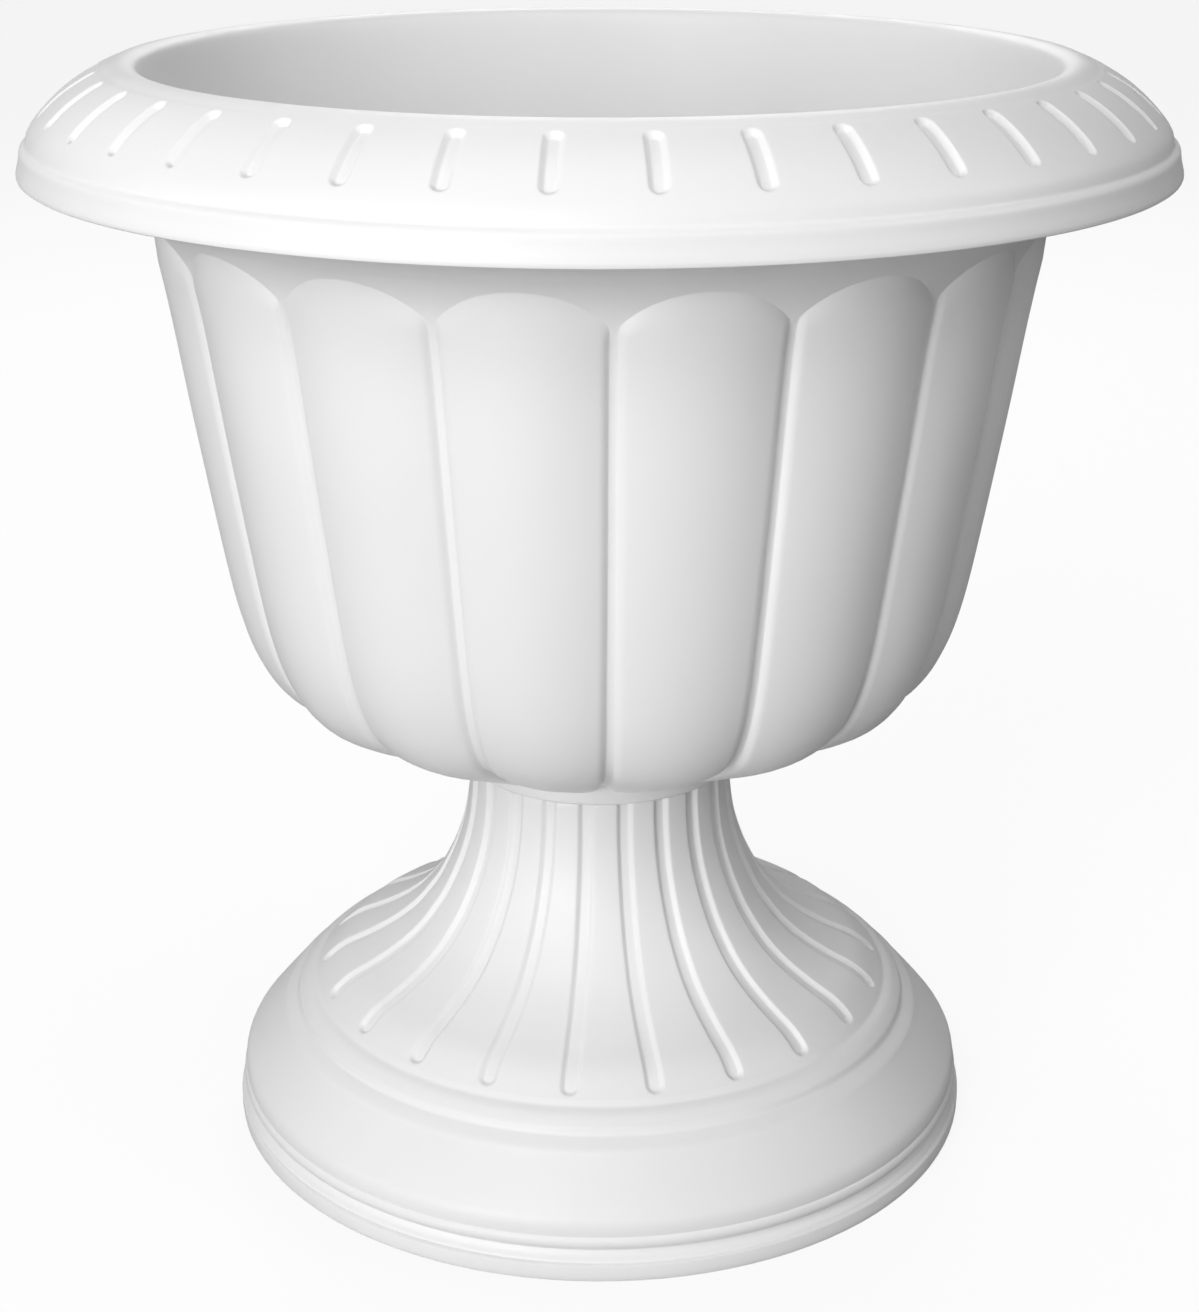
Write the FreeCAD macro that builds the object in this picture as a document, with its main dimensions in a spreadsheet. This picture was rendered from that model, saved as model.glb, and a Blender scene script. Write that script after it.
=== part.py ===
import FreeCAD, Part
import math
import os
import Sketcher
from FreeCAD import Placement, Rotation, Vector

# Urn planter: a lobed bowl bolted to a hollow pedestal.
# Millimetres, +Z up, origin on the floor at the centre of the base. Front is -Y.

doc = FreeCAD.newDocument("urn_planter")

# ---------------------------------------------------------------- driving sizes
sheet = doc.addObject("Spreadsheet::Sheet", "Sizes")
SIZES = [
    # overall
    ("rim_radius", 228.4), ("rim_edge_height", 419.3), ("opening_radius", 180.0),
    ("opening_height", 456.4), ("crown_radius", 186.5), ("crown_height", 459.7),
    ("base_radius", 162.8), ("plinth_height", 6.9),
    ("neck_radius", 56.6), ("joint_height", 160.5), ("collar_radius", 58.2),
    ("collar_height", 171.6),
    # walls
    ("bowl_wall", 3.0), ("bowl_floor", 4.5), ("web_thickness", 5.0), ("well_radius", 54.5),
    # lobes of the bowl
    ("lobe_count", 17), ("lobe_phase", -77.812), ("seam_half_width", 1.55),
    ("lobe_wall_top", 5.3), ("lobe_wall_height", 2.6), ("lobe_bulge", 0.1275),
    ("arch_peak", 401.0), ("arch_radius", 44.0), ("arch_half_width", 29.0),
    # recessed slots of the rim
    ("slot_count", 39), ("slot_phase", -85.0), ("slot_width", 7.0), ("slot_depth", 2.0),
    ("slot_length", 28.9),
    # recessed lines of the stem
    ("line_count", 22), ("line_phase", -193.914), ("line_width", 6.9), ("line_depth", 1.7),
    # fixing hardware
    ("bolt_diameter", 8.0), ("bolt_length", 35.0), ("bolt_head_flats", 13.0),
    ("bolt_head_height", 5.3), ("bolt_hole", 9.0),
    ("seal_outer", 28.0), ("seal_inner", 8.2), ("seal_thickness", 2.0),
    ("washer_outer", 24.0), ("washer_inner", 8.4), ("washer_thickness", 1.6),
    ("nut_hub_diameter", 16.0), ("nut_height", 8.0), ("nut_bore", 8.1),
    ("nut_wing_thickness", 3.2),
    # drain
    ("drain_offset", 33.0), ("drain_hole", 16.0), ("drain_web_hole", 22.0),
    ("plug_flange_diameter", 24.0), ("plug_flange_thickness", 2.5), ("plug_diameter", 15.4),
    ("plug_depth", 8.0), ("plug_tab_thickness", 3.0),
]
V = dict(SIZES)
for i, (name, value) in enumerate(SIZES):
    sheet.set("A%d" % (i + 1), name)
    sheet.set("B%d" % (i + 1), str(value))
    sheet.setAlias("B%d" % (i + 1), name)
doc.recompute()


# ---------------------------------------------------------------- small helpers
def plane(body, role):
    return [o for o in body.Origin.OriginFeatures if o.Role == role][0]


def new_body(name, label=None):
    body = doc.addObject("PartDesign::Body", name)
    body.Label = label or name
    body.AllowCompound = True
    return body


def new_sketch(body, name, role="XZ_Plane", world=None):
    """Sketch on an origin plane of its body, or at a placement measured from that plane."""
    sk = body.newObject("Sketcher::SketchObject", name)
    sk.AttachmentSupport = [(plane(body, role), "")]
    sk.MapMode = "FlatFace"
    if world is not None:
        doc.recompute()
        base = sk.Placement
        sk.AttachmentOffset = base.inverse().multiply(world)
    return sk


def v2(p):
    return Vector(p[0], p[1], 0)


def outline(sk, chain, bind=()):
    """Closed outline from a chain of spans: ("line", pts), ("curve", pts) or ("arc", a, m, b).
    bind: ((x, y), x alias or None, y alias or None) ties that corner to the sheet."""
    first = {}
    geo = []
    for span in chain:
        if span[0] == "line":
            for a, b in zip(span[1][:-1], span[1][1:]):
                geo.append((sk.addGeometry(Part.LineSegment(v2(a), v2(b)), False), a, b))
        elif span[0] == "curve":
            c = Part.BSplineCurve()
            c.interpolate([v2(p) for p in span[1]])
            geo.append((sk.addGeometry(c, False), span[1][0], span[1][-1]))
        else:
            a, m, b = span[1:4]
            # arcs are stored counter-clockwise, so note which end comes first
            arc = Part.Arc(v2(a), v2(m), v2(b))
            g = sk.addGeometry(arc, False)
            geo.append((g, a, b))
    ends = []
    for g, a, b in geo:
        s = sk.getPoint(g, 1)
        flip = (s - v2(a)).Length > 1e-4
        ends.append((g, 2 if flip else 1, 1 if flip else 2, a, b))
    cons = []
    n = len(ends)
    for i in range(n):
        g, s, e, a, b = ends[i]
        g2, s2, e2, a2, b2 = ends[(i + 1) % n]
        cons.append(Sketcher.Constraint("Coincident", g, e, g2, s2))
        first[(round(a[0], 4), round(a[1], 4))] = (g, s)
    sk.addConstraint(cons)
    for p, ax, ay in bind:
        g, s = first[(round(p[0], 4), round(p[1], 4))]
        if ax:
            c = sk.addConstraint(Sketcher.Constraint("DistanceX", -1, 1, g, s, p[0]))
            sk.setExpression("Constraints[%d]" % c, "Sizes." + ax)
        if ay:
            c = sk.addConstraint(Sketcher.Constraint("DistanceY", -1, 1, g, s, p[1]))
            sk.setExpression("Constraints[%d]" % c, "Sizes." + ay)


def circle(sk, x, y, radius, alias=None, offset_alias=None):
    g = sk.addGeometry(Part.Circle(Vector(x, y, 0), Vector(0, 0, 1), radius), False)
    if alias:
        c = sk.addConstraint(Sketcher.Constraint("Diameter", g, 2 * radius))
        sk.setExpression("Constraints[%d]" % c, "Sizes." + alias)
    if offset_alias:
        c = sk.addConstraint(Sketcher.Constraint("DistanceX", -1, 1, g, 3, x))
        sk.setExpression("Constraints[%d]" % c, "Sizes." + offset_alias)
        sk.addConstraint(Sketcher.Constraint("DistanceY", -1, 1, g, 3, y))
    elif alias:
        sk.addConstraint(Sketcher.Constraint("Coincident", g, 3, -1, 1)) if x == 0 and y == 0 else None
    return g


def revolve(body, name, sk):
    f = body.newObject("PartDesign::Revolution", name)
    f.Profile = sk
    f.ReferenceAxis = (sk, ["V_Axis"])
    f.Angle = 360
    body.Tip = f
    return f


def pad(body, name, sk, length=None, expr=None, symmetric=False, reverse=False):
    f = body.newObject("PartDesign::Pad", name)
    f.Profile = sk
    f.Length = length or 1.0
    if expr:
        f.setExpression("Length", expr)
    if symmetric:
        f.SideType = "Symmetric"
    f.Reversed = reverse
    body.Tip = f
    return f


def pocket_through(body, name, sk):
    f = body.newObject("PartDesign::Pocket", name)
    f.Profile = sk
    f.Type = "ThroughAll"
    f.SideType = "Symmetric"
    body.Tip = f
    return f


def polar(body, name, originals, count_alias):
    f = body.newObject("PartDesign::PolarPattern", name)
    f.Originals = originals
    f.Axis = (plane(body, "Z_Axis"), [""])
    f.Angle = 360
    f.setExpression("Occurrences", "Sizes." + count_alias)
    body.Tip = f
    return f


# ---------------------------------------------------------------- bowl profiles
# Crest line of a lobe (radius, height) from the collar up to the arch.
CREST = [(57.2, 165.8), (70, 171.3), (80, 175.7), (90, 180.1), (104, 186.2), (116, 191.6),
         (126, 196.9), (133, 201.6), (138.4, 207.0), (142.6, 212.8), (146.3, 219.8),
         (149.4, 227.2), (151.9, 235.0), (155.1, 248.2), (158.8, 268.4), (162.2, 289.0),
         (165.5, 309.4), (168.6, 329.2), (171.5, 348.8), (174.3, 368.4), (177.3, 383.4),
         (180.4, 393.6), (183.2, 400.5), (188.0, 409.5)]
crest_curve = Part.BSplineCurve()
crest_curve.interpolate([v2(p) for p in CREST])


def frame_at(p):
    """Foot point, unit tangent and outward normal of the crest line near p."""
    u = crest_curve.parameter(v2(p))
    q = crest_curve.value(u)
    t = crest_curve.tangent(u)[0]
    t.normalize()
    return (q.x, q.y), (t.x, t.y), (t.y, -t.x)


def half_pitch(r):
    return math.pi * r / V["lobe_count"]


def lobe_height(r):
    return V["lobe_wall_height"] + V["lobe_bulge"] * (half_pitch(r) - V["lobe_wall_top"])


# The seam floors lie one lobe height inside the crest; above the arches the cove goes on to the lip.
FLOOR = []
for p in CREST[1:20]:
    q, t, n = frame_at(p)
    d = lobe_height(q[0])
    FLOOR.append((q[0] - d * n[0], q[1] - d * n[1]))
COVE = [(171.6, 384.0), (174.1, 392.0), (177.5, 398.0), (181.6, 403.0), (186.0, 407.0),
        (190.4, 410.0), (197.0, 413.0), (205.0, 415.6), (214.0, 417.4)]
floor_pts = [(V["collar_radius"], V["collar_height"])] + FLOOR[0:19] + COVE
floor_pts = [p for i, p in enumerate(floor_pts) if i == 0 or p[0] > floor_pts[i - 1][0] + 0.3]
floor_curve = Part.BSplineCurve()
floor_curve.interpolate([v2(p) for p in floor_pts])


def inside_of(curve, p, d):
    u = curve.parameter(v2(p))
    q = curve.value(u)
    t = curve.tangent(u)[0]
    t.normalize()
    return (q.x - d * t.y, q.y + d * t.x)


W = V["bowl_wall"]
inner_pts = [inside_of(floor_curve, p, W) for p in floor_pts[1:] if p[1] < 372]
inner_pts = [(V["well_radius"], 172.4)] + [p for p in inner_pts if p[0] > 60]

DOME = [(223.8, 432.0), (223.2, 434.8), (221.5, 437.3), (217.0, 442.3), (210.1, 448.5),
        (202.6, 453.5), (195.6, 457.1)]
ROLL = [(193.6, 457.7), (190.4, 459.2), (V["crown_radius"], V["crown_height"]), (183.2, 459.1),
        (181.0, 458.0), (V["opening_radius"], V["opening_height"])]
zj = V["joint_height"]

# ---------------------------------------------------------------- one sector of the bowl below the cove
def revolve_sector(body, name, sk, count_alias):
    """One sector of a turned shape, centred on +X: 360 degrees over the count."""
    f = body.newObject("PartDesign::Revolution", name)
    f.Profile = sk
    f.ReferenceAxis = (sk, ["V_Axis"])
    f.Midplane = True
    f.Angle = 360.0 / V[count_alias]
    f.setExpression("Angle", "360 / Sizes." + count_alias)
    body.Tip = f
    return f


split = (181.6, 403.0)                 # everything above this height repeats with the rim slots
ti = floor_curve.tangent(floor_curve.parameter(v2(split)))[0]
low_pts = [p for p in floor_pts if p[1] < 402] + [split]
cove_pts = [split] + [p for p in floor_pts if p[1] > 404]
foot_corner = (57.7, zj)
inner_top = inner_pts[-1]
top = (V["opening_radius"], V["opening_height"])
k = (split[1] - inner_top[1]) / (top[1] - inner_top[1])
inner_split = (inner_top[0] + k * (top[0] - inner_top[0]), split[1])

shell = new_body("bowl_sector")
sk = new_sketch(shell, "bowl_section")
outline(sk, [
    ("line", [(0, zj), foot_corner, (V["collar_radius"], zj + 0.5),
              (V["collar_radius"], V["collar_height"])]),
    ("curve", low_pts),
    ("line", [split, inner_split, inner_top]),
    ("curve", inner_pts[::-1]),
    ("line", [inner_pts[0], (V["well_radius"], zj + V["bowl_floor"]), (0, zj + V["bowl_floor"]),
              (0, zj)]),
], bind=[
    (foot_corner, None, "joint_height"),
    ((V["collar_radius"], V["collar_height"]), "collar_radius", "collar_height"),
    ((V["well_radius"], zj + V["bowl_floor"]), "well_radius", None),
])
revolve_sector(shell, "bowl_turned", sk, "lobe_count")

# ---------------------------------------------------------------- one sector of the rim
rim = new_body("rim_sector")
sk = new_sketch(rim, "rim_section")
rim_corner = (V["rim_radius"], V["rim_edge_height"])
outline(sk, [
    ("curve", cove_pts),
    ("line", [cove_pts[-1], (227.7, 418.3), rim_corner, (226.9, 427.0)]),
    ("curve", [(226.9, 427.0), (226.3, 429.3), (225.3, 430.1), (224.4, 430.6)]),
    ("line", [(224.4, 430.6), (224.0, 431.3), DOME[0]]),
    ("curve", DOME),
    ("line", [DOME[-1], ROLL[0]]),
    ("curve", ROLL),
    ("line", [ROLL[-1], inner_split, split]),
], bind=[
    (rim_corner, "rim_radius", "rim_edge_height"),
    (ROLL[-1], "opening_radius", "opening_height"),
])
# closed hollow inside the rolled rim
VOID = [(177.4, 406.0), (183.8, 410.2), (195.7, 416.5), (213.6, 421.1), (223.4, 421.9),
        (222.8, 426.6), (219.6, 431.0), (217.8, 433.7), (213.6, 438.4), (207.1, 444.3),
        (200.1, 449.0), (193.8, 452.3), (188.5, 455.2), (184.9, 453.2)]
outline(sk, [("line", VOID + [VOID[0]])])
revolve_sector(rim, "rim_turned", sk, "slot_count")


# ---------------------------------------------------------------- lobes
def lobe_section(body, name, at, inset, embed):
    """Cross-section of one lobe, square to the crest line: bulged face, rounded shoulders."""
    q, t, n = frame_at(at)
    r = q[0]
    pitch = half_pitch(r)
    height = lobe_height(r)
    if at[1] > 380:
        # above the straight part the lobe sinks into the cove
        uu = floor_curve.parameter(Vector(q[0] - 2 * n[0], q[1] - 2 * n[1], 0))
        near = floor_curve.value(uu)
        height = min(height, max((v2(q) - near).Length, 1.0))
    world = Placement(FreeCAD.Matrix(0, n[0], -t[0], q[0],
                                     1, 0, 0, 0,
                                     0, n[1], -t[1], q[1],
                                     0, 0, 0, 1))
    sk = new_sketch(body, name, "YZ_Plane", world)
    top = V["lobe_wall_height"]
    q2 = V["lobe_wall_top"] + 0.6 * inset
    q0 = V["seam_half_width"] + 0.75 * inset
    qm = 0.5 * (q0 + q2) - 0.35
    full = lobe_height(r)

    def depth(x):
        # fall of the ring of radius r, seen in this plane
        return -x * x / (2 * r) * n[0] - inset

    def face(x):
        return depth(x) - V["lobe_bulge"] * x * x / max(pitch - V["lobe_wall_top"], 1)

    w2, wm, w0 = pitch - q2, pitch - qm, pitch - q0
    y2 = face(w2)
    ym = depth(wm) - full + top * 0.62
    y0 = depth(w0) - full
    yb = -embed
    bot0 = (0, -(height + yb * -1) - inset)
    bw = (w0, min(depth(w0) - height - embed, y0 - 0.3))
    outline(sk, [
        ("arc", (-w2, y2), (0, -inset), (w2, y2)),
        ("arc", (w2, y2), (wm, ym), (w0, y0)),
        ("line", [(w0, y0), bw]),
        ("arc", bw, bot0, (-bw[0], bw[1])),
        ("line", [(-bw[0], bw[1]), (-w0, y0)]),
        ("arc", (-w0, y0), (-wm, ym), (-w2, y2)),
    ])
    return sk


def lobe_body(name, inset, embed, stations, peak_drop, half_width):
    body = new_body(name)
    sections = [lobe_section(body, "%s_section_%d" % (name, i), p, inset, embed)
                for i, p in enumerate(stations)]
    loft = body.newObject("PartDesign::AdditiveLoft", name + "_loft")
    loft.Profile = sections[-1]
    loft.Sections = sections[-2::-1]
    loft.Ruled = False
    body.Tip = loft
    doc.recompute()
    if loft.Shape.Volume < 0 or loft.Shape.Volume > 1e6:
        raise RuntimeError("lobe is inside out: %s" % loft.Shape.Volume)
    # arched top: everything above the arch is trimmed away
    peak = V["arch_peak"] - peak_drop
    ra = V["arch_radius"]
    a = half_width - 2.5
    shoulder = peak - ra + math.sqrt(ra * ra - a * a)
    low = shoulder - 7.0
    sk = new_sketch(body, name + "_arch", "YZ_Plane")
    outline(sk, [
        ("line", [(-60, low), (-half_width, low)]),
        ("arc", (-half_width, low), (-half_width + 0.45, shoulder - 2.6), (-a, shoulder)),
        ("arc", (-a, shoulder), (0, peak), (a, shoulder)),
        ("arc", (a, shoulder), (half_width - 0.45, shoulder - 2.6), (half_width, low)),
        ("line", [(half_width, low), (60, low), (60, 470), (-60, 470), (-60, low)]),
    ])
    trim = pocket_through(body, name + "_trim", sk)
    doc.recompute()
    return body, loft, trim




def stations(count, last):
    """Evenly spaced points along the crest line, from the collar to the height of last."""
    u1 = crest_curve.parameter(v2(last))
    pts = crest_curve.discretize(Number=count, First=crest_curve.FirstParameter, Last=u1)
    return [(p.x, p.y) for p in pts]


OUTER = stations(18, CREST[-1])
lobes, loft, trim = lobe_body("bowl_lobes", 0.0, 1.4, OUTER, 0.0, V["arch_half_width"])

INNER = stations(17, CREST[-2])
flutes, loft, trim = lobe_body("bowl_flutes", W, 4.0, INNER, 15.0, V["arch_half_width"] - 3.0)

# ---------------------------------------------------------------- rim slots
slots = new_body("rim_slots")
sk = new_sketch(slots, "slot_band")
dome_curve = Part.BSplineCurve()
dome_curve.interpolate([v2(p) for p in DOME])
deep = [inside_of(dome_curve, p, V["slot_depth"]) for p in DOME[1:]]
outline(sk, [
    ("line", [deep[0], (230, 436), (230, 446), (212, 462), (190, 466), deep[-1]]),
    ("curve", deep[::-1]),
])
band = pad(slots, "slot_bar", sk, V["slot_width"], "Sizes.slot_width", symmetric=True)
doc.recompute()
# rounded ends, drawn square to the middle of the slot
tilt = math.radians(33.5)
mid = (207.9, 449.7)
world = Placement(FreeCAD.Matrix(math.cos(tilt), 0, math.sin(tilt), mid[0],
                                 0, 1, 0, 0,
                                 -math.sin(tilt), 0, math.cos(tilt), mid[1],
                                 0, 0, 0, 1))
sk = new_sketch(slots, "slot_ends", "XY_Plane", world)
hl, hw = V["slot_length"] / 2, V["slot_width"] / 2
outline(sk, [("line", [(-60, -20), (60, -20), (60, 20), (-60, 20), (-60, -20)])])
outline(sk, [
    ("line", [(-hl + hw, -hw - 0.02), (hl - hw, -hw - 0.02)]),
    ("arc", (hl - hw, -hw - 0.02), (hl, 0), (hl - hw, hw + 0.02)),
    ("line", [(hl - hw, hw + 0.02), (-hl + hw, hw + 0.02)]),
    ("arc", (-hl + hw, hw + 0.02), (-hl, 0), (-hl + hw, -hw - 0.02)),
])
ends = pocket_through(slots, "slot_rounding", sk)

# ---------------------------------------------------------------- pedestal shell
STEM = [(124.4, 61.7), (115.6, 69.2), (107.0, 73.4), (99.0, 77.5), (92.0, 81.7), (86.0, 86.2),
        (80.8, 91.1), (76.0, 97.0), (71.9, 102.6), (68.5, 108.8), (65.5, 115.0), (63.1, 121.0),
        (61.1, 127.0), (59.5, 133.0), (58.3, 139.0), (57.5, 145.0), (56.9, 151.0),
        (V["neck_radius"], zj)]
pedestal_shell = new_body("pedestal_shell")
sk = new_sketch(pedestal_shell, "pedestal_section")
plinth = (V["base_radius"], V["plinth_height"])
STEM_IN = [(112.0, 64.6), (98.0, 71.4), (90.0, 76.4), (82.6, 82.4), (72.0, 94.0), (64.2, 106.4),
           (58.4, 119.5), (54.7, 132.5), (52.6, 144.5), (51.8, zj - V["web_thickness"])]
outline(sk, [
    ("line", [(158.8, 0), (162.3, 0), (162.6, 0.8), plinth, (162.2, 7.5), (161.5, 7.6),
              (161.0, 7.9), (160.9, 8.4)]),
    ("curve", [(160.9, 8.4), (159.8, 9.2), (158.9, 10.6), (158.4, 12.2)]),
    ("curve", [(158.4, 12.2), (159.0, 13.1), (160.2, 13.8), (161.0, 15.5), (161.0, 17.0),
               (160.4, 18.2), (159.8, 18.7)]),
    ("curve", [(159.8, 18.7), (160.1, 20.5), (160.0, 22.5), (159.6, 24.5), (158.8, 26.3),
               (157.5, 28.0)]),
    ("line", [(157.5, 28.0), (146.4, 41.2), (143.3, 44.6), (142.0, 46.3), (141.6, 46.9),
              (140.2, 48.0), (138.0, 49.4), (136.2, 50.4)]),
    ("curve", [(136.2, 50.4), (135.6, 51.6), (135.3, 52.8), (134.6, 54.0)]),
    ("curve", [(134.6, 54.0), (133.2, 55.4), (131.0, 57.2), (127.7, 58.4)]),
    ("line", [(127.7, 58.4), (126.6, 59.4)]),
    ("curve", [(126.6, 59.4), (125.8, 60.6)] + STEM),
    ("line", [STEM[-1], (0, zj), (0, zj - V["web_thickness"]), STEM_IN[-1]]),
    ("curve", STEM_IN[::-1]),
    ("line", [STEM_IN[0], (120.5, 57.6), (124.5, 54.4), (131.0, 51.2), (131.8, 47.2),
              (136.5, 44.8), (141.0, 41.0), (153.5, 26.6), (155.2, 22.0), (155.2, 10.0),
              (158.8, 4.0), (158.8, 0)]),
], bind=[(plinth, "base_radius", "plinth_height"), (STEM[-1], "neck_radius", "joint_height")])
revolve_sector(pedestal_shell, "pedestal_turned", sk, "line_count")

# recessed lines down the stem
lines = new_body("stem_lines")
stem_curve = Part.BSplineCurve()
stem_curve.interpolate([v2(p) for p in STEM])
deep = [inside_of(stem_curve, p, V["line_depth"]) for p in STEM[1:-1]]
deep = [(123.2, 60.9)] + deep + [(V["neck_radius"] - V["line_depth"], zj + 1)]
sk = new_sketch(lines, "line_band")
outline(sk, [
    ("curve", deep),
    ("line", [deep[-1], (80, zj + 1), (90, 110), (129, 84), (129, 66), deep[0]]),
])
bar = pad(lines, "line_bar", sk, V["line_width"], "Sizes.line_width", symmetric=True)
doc.recompute()
tip = 123.6
hw = V["line_width"] / 2
sk = new_sketch(lines, "line_tip", "XY_Plane")
outline(sk, [
    ("line", [(tip - hw, -20), (tip + 20, -20), (tip + 20, 20), (tip - hw, 20), (tip - hw, hw + 0.02)]),
    ("arc", (tip - hw, hw + 0.02), (tip, 0), (tip - hw, -hw - 0.02)),
    ("line", [(tip - hw, -hw - 0.02), (tip - hw, -20)]),
])
rounding = pocket_through(lines, "line_rounding", sk)

doc.recompute()

# ---------------------------------------------------------------- the two mouldings
joined = doc.addObject("Part::Fuse", "sector_with_lobe")
joined.Base = shell
joined.Tool = lobes
hollowed = doc.addObject("Part::Cut", "sector_fluted")
hollowed.Base = joined
hollowed.Tool = flutes
slotted = doc.addObject("Part::Cut", "rim_slotted")
slotted.Base = rim
slotted.Tool = slots
lined = doc.addObject("Part::Cut", "pedestal_lined")
lined.Base = pedestal_shell
lined.Tool = lines
doc.recompute()


def ring_of(name, sector, count, phase):
    """The sector repeated round the axis and joined along its flat sides into one solid."""
    half = math.pi / count
    keep = []
    for face in sector.Faces:
        if isinstance(face.Surface, Part.Plane):
            ax = face.Surface.Axis
            if abs(ax.z) < 1e-6:
                on_side = False
                for sgn in (1, -1):
                    side = Vector(-math.sin(sgn * half), math.cos(sgn * half), 0)
                    if abs(abs(ax.dot(side)) - 1) < 1e-6 and abs(face.Surface.Position.dot(side)) < 1e-4:
                        on_side = True
                if on_side:
                    continue
        keep.append(face)
    faces = []
    for i in range(int(count)):
        for face in keep:
            c = face.copy()
            c.rotate(Vector(0, 0, 0), Vector(0, 0, 1), phase + i * 360.0 / count)
            faces.append(c)
    skin = Part.Compound(faces)
    skin.sewShape()
    shells = sorted(skin.Shells, key=lambda q: -q.BoundBox.DiagonalLength)
    if not all(q.isClosed() for q in shells):
        raise RuntimeError("open skin: " + name)
    solids = []
    for q in shells:
        d = Part.Solid(q)
        if d.Volume < 0:
            d.reverse()
        solids.append(d)
    out = solids[0]
    for d in solids[1:]:
        # a closed hollow inside the moulding
        out = out.cut(d)
    return out


def feature(name, shape):
    f = doc.addObject("Part::Feature", name)
    f.Shape = shape
    return f


low_ring = ring_of("bowl_low", hollowed.Shape, V["lobe_count"], V["lobe_phase"]).removeSplitter()
rim_ring = ring_of("rim_ring", slotted.Shape, V["slot_count"], V["slot_phase"]).removeSplitter()
ped_ring = ring_of("pedestal_ring", lined.Shape, V["line_count"], V["line_phase"]).removeSplitter()

bowl_low = feature("bowl_low", low_ring)
bowl_rim = feature("bowl_rim", rim_ring)
bowl_whole = doc.addObject("Part::Fuse", "bowl_whole")
bowl_whole.Base = bowl_low
bowl_whole.Tool = bowl_rim
doc.recompute()


def hole_pair(name, z0, z1, drain_alias):
    """Round cutters for the bolt hole and the drain hole between two heights."""
    out = []
    for tag, alias, x in (("bolt", "bolt_hole", None), ("drain", drain_alias, "drain_offset")):
        c = doc.addObject("Part::Cylinder", name + "_" + tag)
        c.Height = z1 - z0
        c.setExpression("Radius", "Sizes.%s / 2" % alias)
        if x:
            c.Placement = Placement(Vector(V[x], 0, z0), Rotation())
            c.setExpression("Placement.Base.x", "Sizes." + x)
        else:
            c.Placement = Placement(Vector(0, 0, z0), Rotation())
        out.append(c)
    both = doc.addObject("Part::MultiFuse", name)
    both.Shapes = out
    return both


bowl = doc.addObject("Part::Cut", "bowl_finished")
bowl.Base = bowl_whole
bowl.Tool = hole_pair("bowl_holes", zj - 1, zj + V["bowl_floor"] + 1, "drain_hole")
bowl.Label = "bowl"
pedestal = doc.addObject("Part::Cut", "pedestal_finished")
pedestal.Base = feature("pedestal_ring", ped_ring)
pedestal.Tool = hole_pair("pedestal_holes", zj - V["web_thickness"] - 1, zj + 1, "drain_web_hole")
pedestal.Label = "pedestal"
doc.recompute()

# ---------------------------------------------------------------- fixing hardware
z_floor = zj + V["bowl_floor"]
z_seal = z_floor
z_washer = z_seal + V["seal_thickness"]
z_head = z_washer + V["washer_thickness"]
z_web = zj - V["web_thickness"]


def washer(name, z, outer, inner, thick_alias, outer_alias, inner_alias):
    body = new_body(name)
    world = Placement(Vector(0, 0, z), Rotation())
    sk = new_sketch(body, name + "_rings", "XY_Plane", world)
    circle(sk, 0, 0, outer / 2, outer_alias)
    circle(sk, 0, 0, inner / 2, inner_alias)
    pad(body, name + "_plate", sk, V[thick_alias], "Sizes." + thick_alias)
    return body


sealing = washer("sealing_washer", z_seal, V["seal_outer"], V["seal_inner"],
                 "seal_thickness", "seal_outer", "seal_inner")
upper = washer("flat_washer", z_washer, V["washer_outer"], V["washer_inner"],
               "washer_thickness", "washer_outer", "washer_inner")
lower = washer("lower_washer", z_web - V["washer_thickness"], V["washer_outer"],
               V["washer_inner"], "washer_thickness", "washer_outer", "washer_inner")

bolt = new_body("fixing_bolt")
sk = new_sketch(bolt, "bolt_shank_circle", "XY_Plane", Placement(Vector(0, 0, z_head), Rotation()))
circle(sk, 0, 0, V["bolt_diameter"] / 2, "bolt_diameter")
pad(bolt, "bolt_shank", sk, V["bolt_length"], "Sizes.bolt_length", reverse=True)
sk = new_sketch(bolt, "bolt_head_hexagon", "XY_Plane", Placement(Vector(0, 0, z_head), Rotation()))
rh = V["bolt_head_flats"] / math.sqrt(3)
hexa = [(rh * math.cos(math.radians(60 * k)), rh * math.sin(math.radians(60 * k))) for k in range(7)]
hexa[6] = hexa[0]
outline(sk, [("line", hexa)])
pad(bolt, "bolt_head", sk, V["bolt_head_height"], "Sizes.bolt_head_height")
doc.recompute()
# 30 degree crown of the head: the corners are turned off
sk = new_sketch(bolt, "bolt_crown")
zt = z_head + V["bolt_head_height"]
outline(sk, [("line", [(6.3, zt), (8.6, zt - 1.33), (8.6, zt + 2), (6.3, zt + 2), (6.3, zt)])])
g = bolt.newObject("PartDesign::Groove", "bolt_crown_turned")
g.Profile = sk
g.ReferenceAxis = (sk, ["V_Axis"])
g.Angle = 360
bolt.Tip = g
doc.recompute()
sk = new_sketch(bolt, "bolt_point")
zb = z_head - V["bolt_length"]
rb = V["bolt_diameter"] / 2
outline(sk, [("line", [(rb - 1.0, zb), (rb + 1, zb), (rb + 1, zb + 2.0), (rb - 1.0, zb)])])
g = bolt.newObject("PartDesign::Groove", "bolt_point_turned")
g.Profile = sk
g.ReferenceAxis = (sk, ["V_Axis"])
g.Angle = 360
bolt.Tip = g
doc.recompute()

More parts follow.
